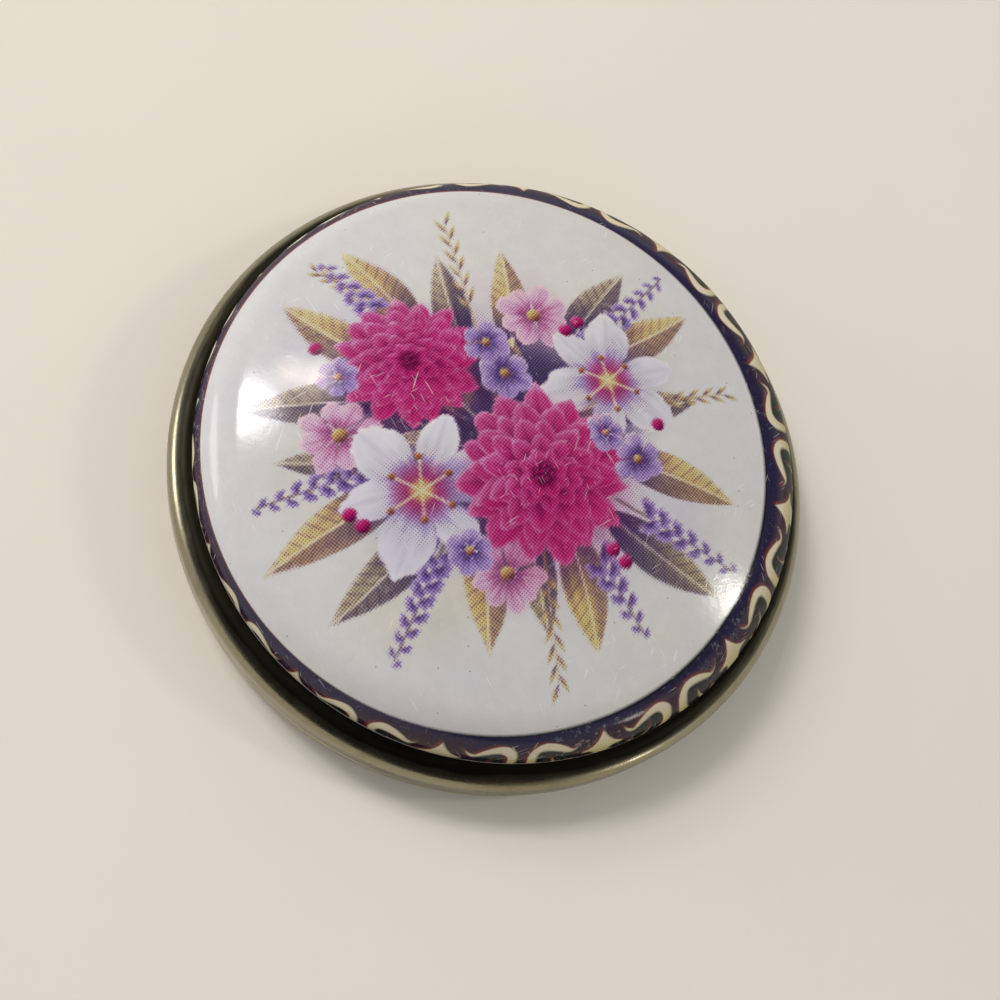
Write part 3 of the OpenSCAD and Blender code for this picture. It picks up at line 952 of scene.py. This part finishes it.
def open_depth(x, y, p):
    """How deep points at x, y from the print's centre lie inside the parts that a plate leaves open: the
    disc, and in each half repeat, mirrored about the dart, a dart, a scroll and a thorn. In metres."""
    fold, r = folded(x, y, p)
    depth = p.disc / MM - r
    out = np.flatnonzero(r > BORDER_START)
    u, v = np.radians(fold[out]) * BORDER_MIDDLE, r[out]
    shapes = [outline_depth(u, v, DART), stroke_depth(u, v, SCROLL), stroke_depth(u, v, THORN)]
    depth[out] = np.maximum(depth[out], np.max(shapes, axis=0))
    return depth * MM


def under_scroll(x, y, p):
    """Share of the teal ground: 1 under the scrolls' arches, which are ellipses, and towards the lid's edge,
    0 in the navy band."""
    fold, r = folded(x, y, p)
    arch = 1 - np.hypot((fold - 9.8) / 3.6, (r - 37.3) / 2.0)
    return np.clip(np.maximum(rise(arch, -0.05, 0.1), rise(r, 36.9, 37.8)), 0, 1)


def paint_ink(x, y, p, flowers):
    """The tones of the flat print at points x, y from its centre: the garland on its disc, and the scrolls'
    own tone, cream at the top and straw-coloured below, outside it."""
    r = np.hypot(x, y)
    tones = light_scale(toward(paint_scale(p.scroll), paint_scale(p.straw), rise(r / MM, 34.8, 38.2)))
    disc = np.flatnonzero(r < p.disc + 0.5 * MM)
    tones[disc] = paint_garland(x[disc], y[disc], p.cream, flowers)
    return tones


# Operators

# Reach of the dome's disc grid, just inside where dome and shoulder meet
DOME_REACH = 28.45 * MM


class TIN_OT_lid(bpy.types.Operator):
    """Printed lid: dome, shoulder, skirt and the curl along its lower edge"""

    bl_idname = "tin.lid"
    bl_label = "Printed lid"

    def execute(self, context):
        scene = context.scene
        sizes, p = scene.tin_sizes, scene.tin_print
        bends = lid_bends(sizes)
        outer, inner = sheet_line(bends, 0, 0.02), sheet_line(bends, sizes.sheet, 0.02)
        run = run_of(outer)
        dome_end = run[np.argmin(np.abs(outer[:, 0] - (outer[0, 0] + DOME_REACH)))]
        skirt_end = run[-1] - math.radians(CURL_TURN) * sizes.lid_curl

        def laid(on_skirt, on_curl):
            return np.concatenate([np.linspace(dome_end, skirt_end, on_skirt + 1)[1:],
                                   np.linspace(skirt_end, run[-1], on_curl + 1)[1:]])

        piece, s, angle, outside = capped_shell("lid_printed_sheet", outer, inner, run, dome_end, cells=212,
                                                shrink=4, rows=laid(36, 12), inner_rows=laid(16, 16))
        x, y = s * np.cos(angle) - p.shift_x, s * np.sin(angle) - p.shift_y
        mesh = piece.data
        tones = np.concatenate([paint_ink(x, y, p, scene.tin_flowers), np.ones((len(x), 1))], axis=1)
        set_values(mesh, "ink", "FLOAT_COLOR", "color", tones)
        plates = (open_depth(x - p.slip_x, y - p.slip_y, p), open_depth(x, y, p), under_scroll(x, y, p))
        set_values(mesh, "plates", "FLOAT_VECTOR", "vector", np.stack(plates, axis=1))
        reach = (skirt_end - s, p.disc - np.hypot(x, y), np.zeros_like(s))
        set_values(mesh, "reach", "FLOAT_VECTOR", "vector", np.stack(reach, axis=1))
        corner = np.zeros(len(mesh.loops), np.int32)
        mesh.loops.foreach_get("vertex_index", corner)
        flat = np.stack([x, y], axis=1)[corner] / PRINT_SPAN + 0.5
        mesh.uv_layers.new(name="print").data.foreach_set("uv", flat.astype(np.float32).ravel())
        mesh.materials.append(printed_lacquer(p))
        mesh.materials.append(tinplate("lid_tinplate", tuple(scene.tin_metal.lining), 0.2))
        starts = np.zeros(len(mesh.polygons), np.int32)
        mesh.polygons.foreach_get("loop_start", starts)
        first = corner[starts]
        bare = ~(outside[first] & (s[first] < skirt_end + 0.1 * MM))
        mesh.polygons.foreach_set("material_index", bare.astype(np.int32))
        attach(piece, "lid")
        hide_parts("lid")
        return {"FINISHED"}


class TIN_OT_body(bpy.types.Operator):
    """Drawn body: mouth curl, neck, gutter, stop bead, wall, heel and the tail inside the foot ring"""

    bl_idname = "tin.body"
    bl_label = "Drawn body"

    def execute(self, context):
        sizes, tone = context.scene.tin_sizes, tuple(context.scene.tin_metal.ring)
        piece = ring_shell("body_drawn_sheet", body_bends(sizes), sizes.sheet, columns=384, fine=8)
        # The last value is the radius out to which the body's material paints shade into the gutter
        piece.data.materials.append(tinplate("body_tinplate", tone, 0.19, sizes.body_radius - 1.3 * MM))
        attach(piece, "tin_body")
        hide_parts("body")
        return {"FINISHED"}


class TIN_OT_bottom_plate(bpy.types.Operator):
    """Bottom plate: raised panel, step and the foot ring that is rolled round the body's edge"""

    bl_idname = "tin.bottom_plate"
    bl_label = "Bottom plate"

    def execute(self, context):
        sizes, tone = context.scene.tin_sizes, tuple(context.scene.tin_metal.bottom)
        skins = (sheet_line(plate_bends(sizes), depth, 7) for depth in (0, sizes.sheet))
        outer, inner = (np.concatenate([[[0, skin[0, 1]]], skin]) for skin in skins)
        run = run_of(outer)
        reach = run[1] * 0.96
        rows = spread(outer, ROW_STEP)
        rows = rows[rows > reach]
        piece, *_ = capped_shell("bottom_plate_sheet", inner, outer, run, reach, cells=104, shrink=1,
                                 rows=rows, inner_rows=rows)
        piece.data.materials.append(tinplate("bottom_tinplate", tone, 0.16))
        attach(piece, "tin_body")
        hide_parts("bottom_plate")
        return {"FINISHED"}


# Lights: name, turn clockwise from +X and angle from overhead in degrees, width in metres, power in watts,
# tint, and whether glossy surfaces show it
LAMPS = (("sky_panel", 225, 42, 0.42, 2.5, (1.0, 0.985, 0.97), False),
         ("window", 222, 38, 0.15, 1.4, (1.0, 0.98, 0.98), True),
         ("side_window", 197, 86, 0.40, 2.2, (0.94, 0.96, 1.0), True),
         ("lamp_left", 236, 37, 0.032, 0.20, (1.0, 0.88, 0.68), True),
         ("lamp_right", 241, 34, 0.036, 0.25, (1.0, 0.88, 0.68), True),
         ("far_lamp", 3, 47, 0.085, 0.75, (1.0, 0.97, 0.90), True),
         ("near_lamp", 49, 86, 0.10, 0.25, (1.0, 0.92, 0.80), True))
LAMP_DISTANCE = 0.9
FLOOR_SIDE = 6.0


def softbox(name, turn, zenith, size, power, tint, mirrored):
    """A round light that faces the tin from a turn and an angle from overhead."""
    a, t = math.radians(-turn), math.radians(zenith)
    way = Vector((math.sin(t) * math.cos(a), math.sin(t) * math.sin(a), math.cos(t)))
    lamp = bpy.data.lights.new(name, "AREA")
    lamp.shape, lamp.size, lamp.energy, lamp.color = "DISK", size, power, tint
    facing = way.to_track_quat("Z", "Y").to_matrix().to_4x4()
    holder = bpy.data.objects.new(name, lamp)
    holder.visible_camera, holder.visible_glossy = False, mirrored
    holder.matrix_world = Matrix.Translation(way * LAMP_DISTANCE) @ facing
    bpy.context.scene.collection.objects.link(holder)


class TIN_OT_studio(bpy.types.Operator):
    """Studio: pale floor, soft lights and the camera"""

    bl_idname = "tin.studio"
    bl_label = "Studio"

    def execute(self, context):
        scene, st = context.scene, context.scene.tin_studio
        corners = np.array([[-1, -1, 0], [1, -1, 0], [1, 1, 0], [-1, 1, 0]]) * FLOOR_SIDE / 2
        floor = make_mesh("floor", corners, np.array([[0, 1, 2, 3]]))
        floor.data.materials.append(sheet_floor(tuple(st.floor)))
        for lamp in LAMPS:
            softbox(*lamp)
        scene.world = studio_world()

        camera = bpy.data.cameras.new("camera")
        camera.lens, camera.sensor_width = st.lens, 36.0
        camera.clip_start = 0.005
        eye, aim = Vector((st.eye_x, st.eye_y, st.eye_z)), Vector((st.aim_x, st.aim_y, st.aim_z))
        forward = (aim - eye).normalized()
        right = forward.cross(Vector((math.sin(st.roll), math.cos(st.roll), 0))).normalized()
        up = right.cross(forward)
        holder = bpy.data.objects.new("camera", camera)
        holder.matrix_world = Matrix.Translation(eye) @ Matrix((right, up, -forward)).transposed().to_4x4()
        scene.collection.objects.link(holder)
        scene.camera = holder
        scene.view_settings.view_transform = "Standard"
        return {"FINISHED"}


class TIN_PT_parts(bpy.types.Panel):
    """The tin's pieces and settings"""

    bl_idname = "TIN_PT_parts"
    bl_label = "Sewing Tin"
    bl_space_type = "VIEW_3D"
    bl_region_type = "UI"
    bl_category = "Sewing Tin"

    def draw(self, context):
        for operator in OPERATORS:
            self.layout.operator(operator.bl_idname)
        for group in GROUPS:
            settings = getattr(context.scene, group)
            box = self.layout.box()
            for name in settings.bl_rna.properties.keys():
                if name not in ("rna_type", "name"):
                    box.prop(settings, name)


GROUPS = {"tin_sizes": TinSizes, "tin_print": TinPrint, "tin_flowers": TinFlowers, "tin_metal": TinMetal,
          "tin_studio": TinStudio}
OPERATORS = (TIN_OT_lid, TIN_OT_body, TIN_OT_bottom_plate, TIN_OT_studio)


def register():
    for name, group in GROUPS.items():
        bpy.utils.register_class(group)
        setattr(bpy.types.Scene, name, bpy.props.PointerProperty(type=group))
    for operator in OPERATORS:
        bpy.utils.register_class(operator)
    bpy.utils.register_class(TIN_PT_parts)


def unregister():
    bpy.utils.unregister_class(TIN_PT_parts)
    for operator in reversed(OPERATORS):
        bpy.utils.unregister_class(operator)
    for name, group in reversed(GROUPS.items()):
        delattr(bpy.types.Scene, name)
        bpy.utils.unregister_class(group)


def main():
    register()
    bpy.ops.tin.lid()
    bpy.ops.tin.body()
    bpy.ops.tin.bottom_plate()
    bpy.ops.tin.studio()


if __name__ == "__main__":
    main()
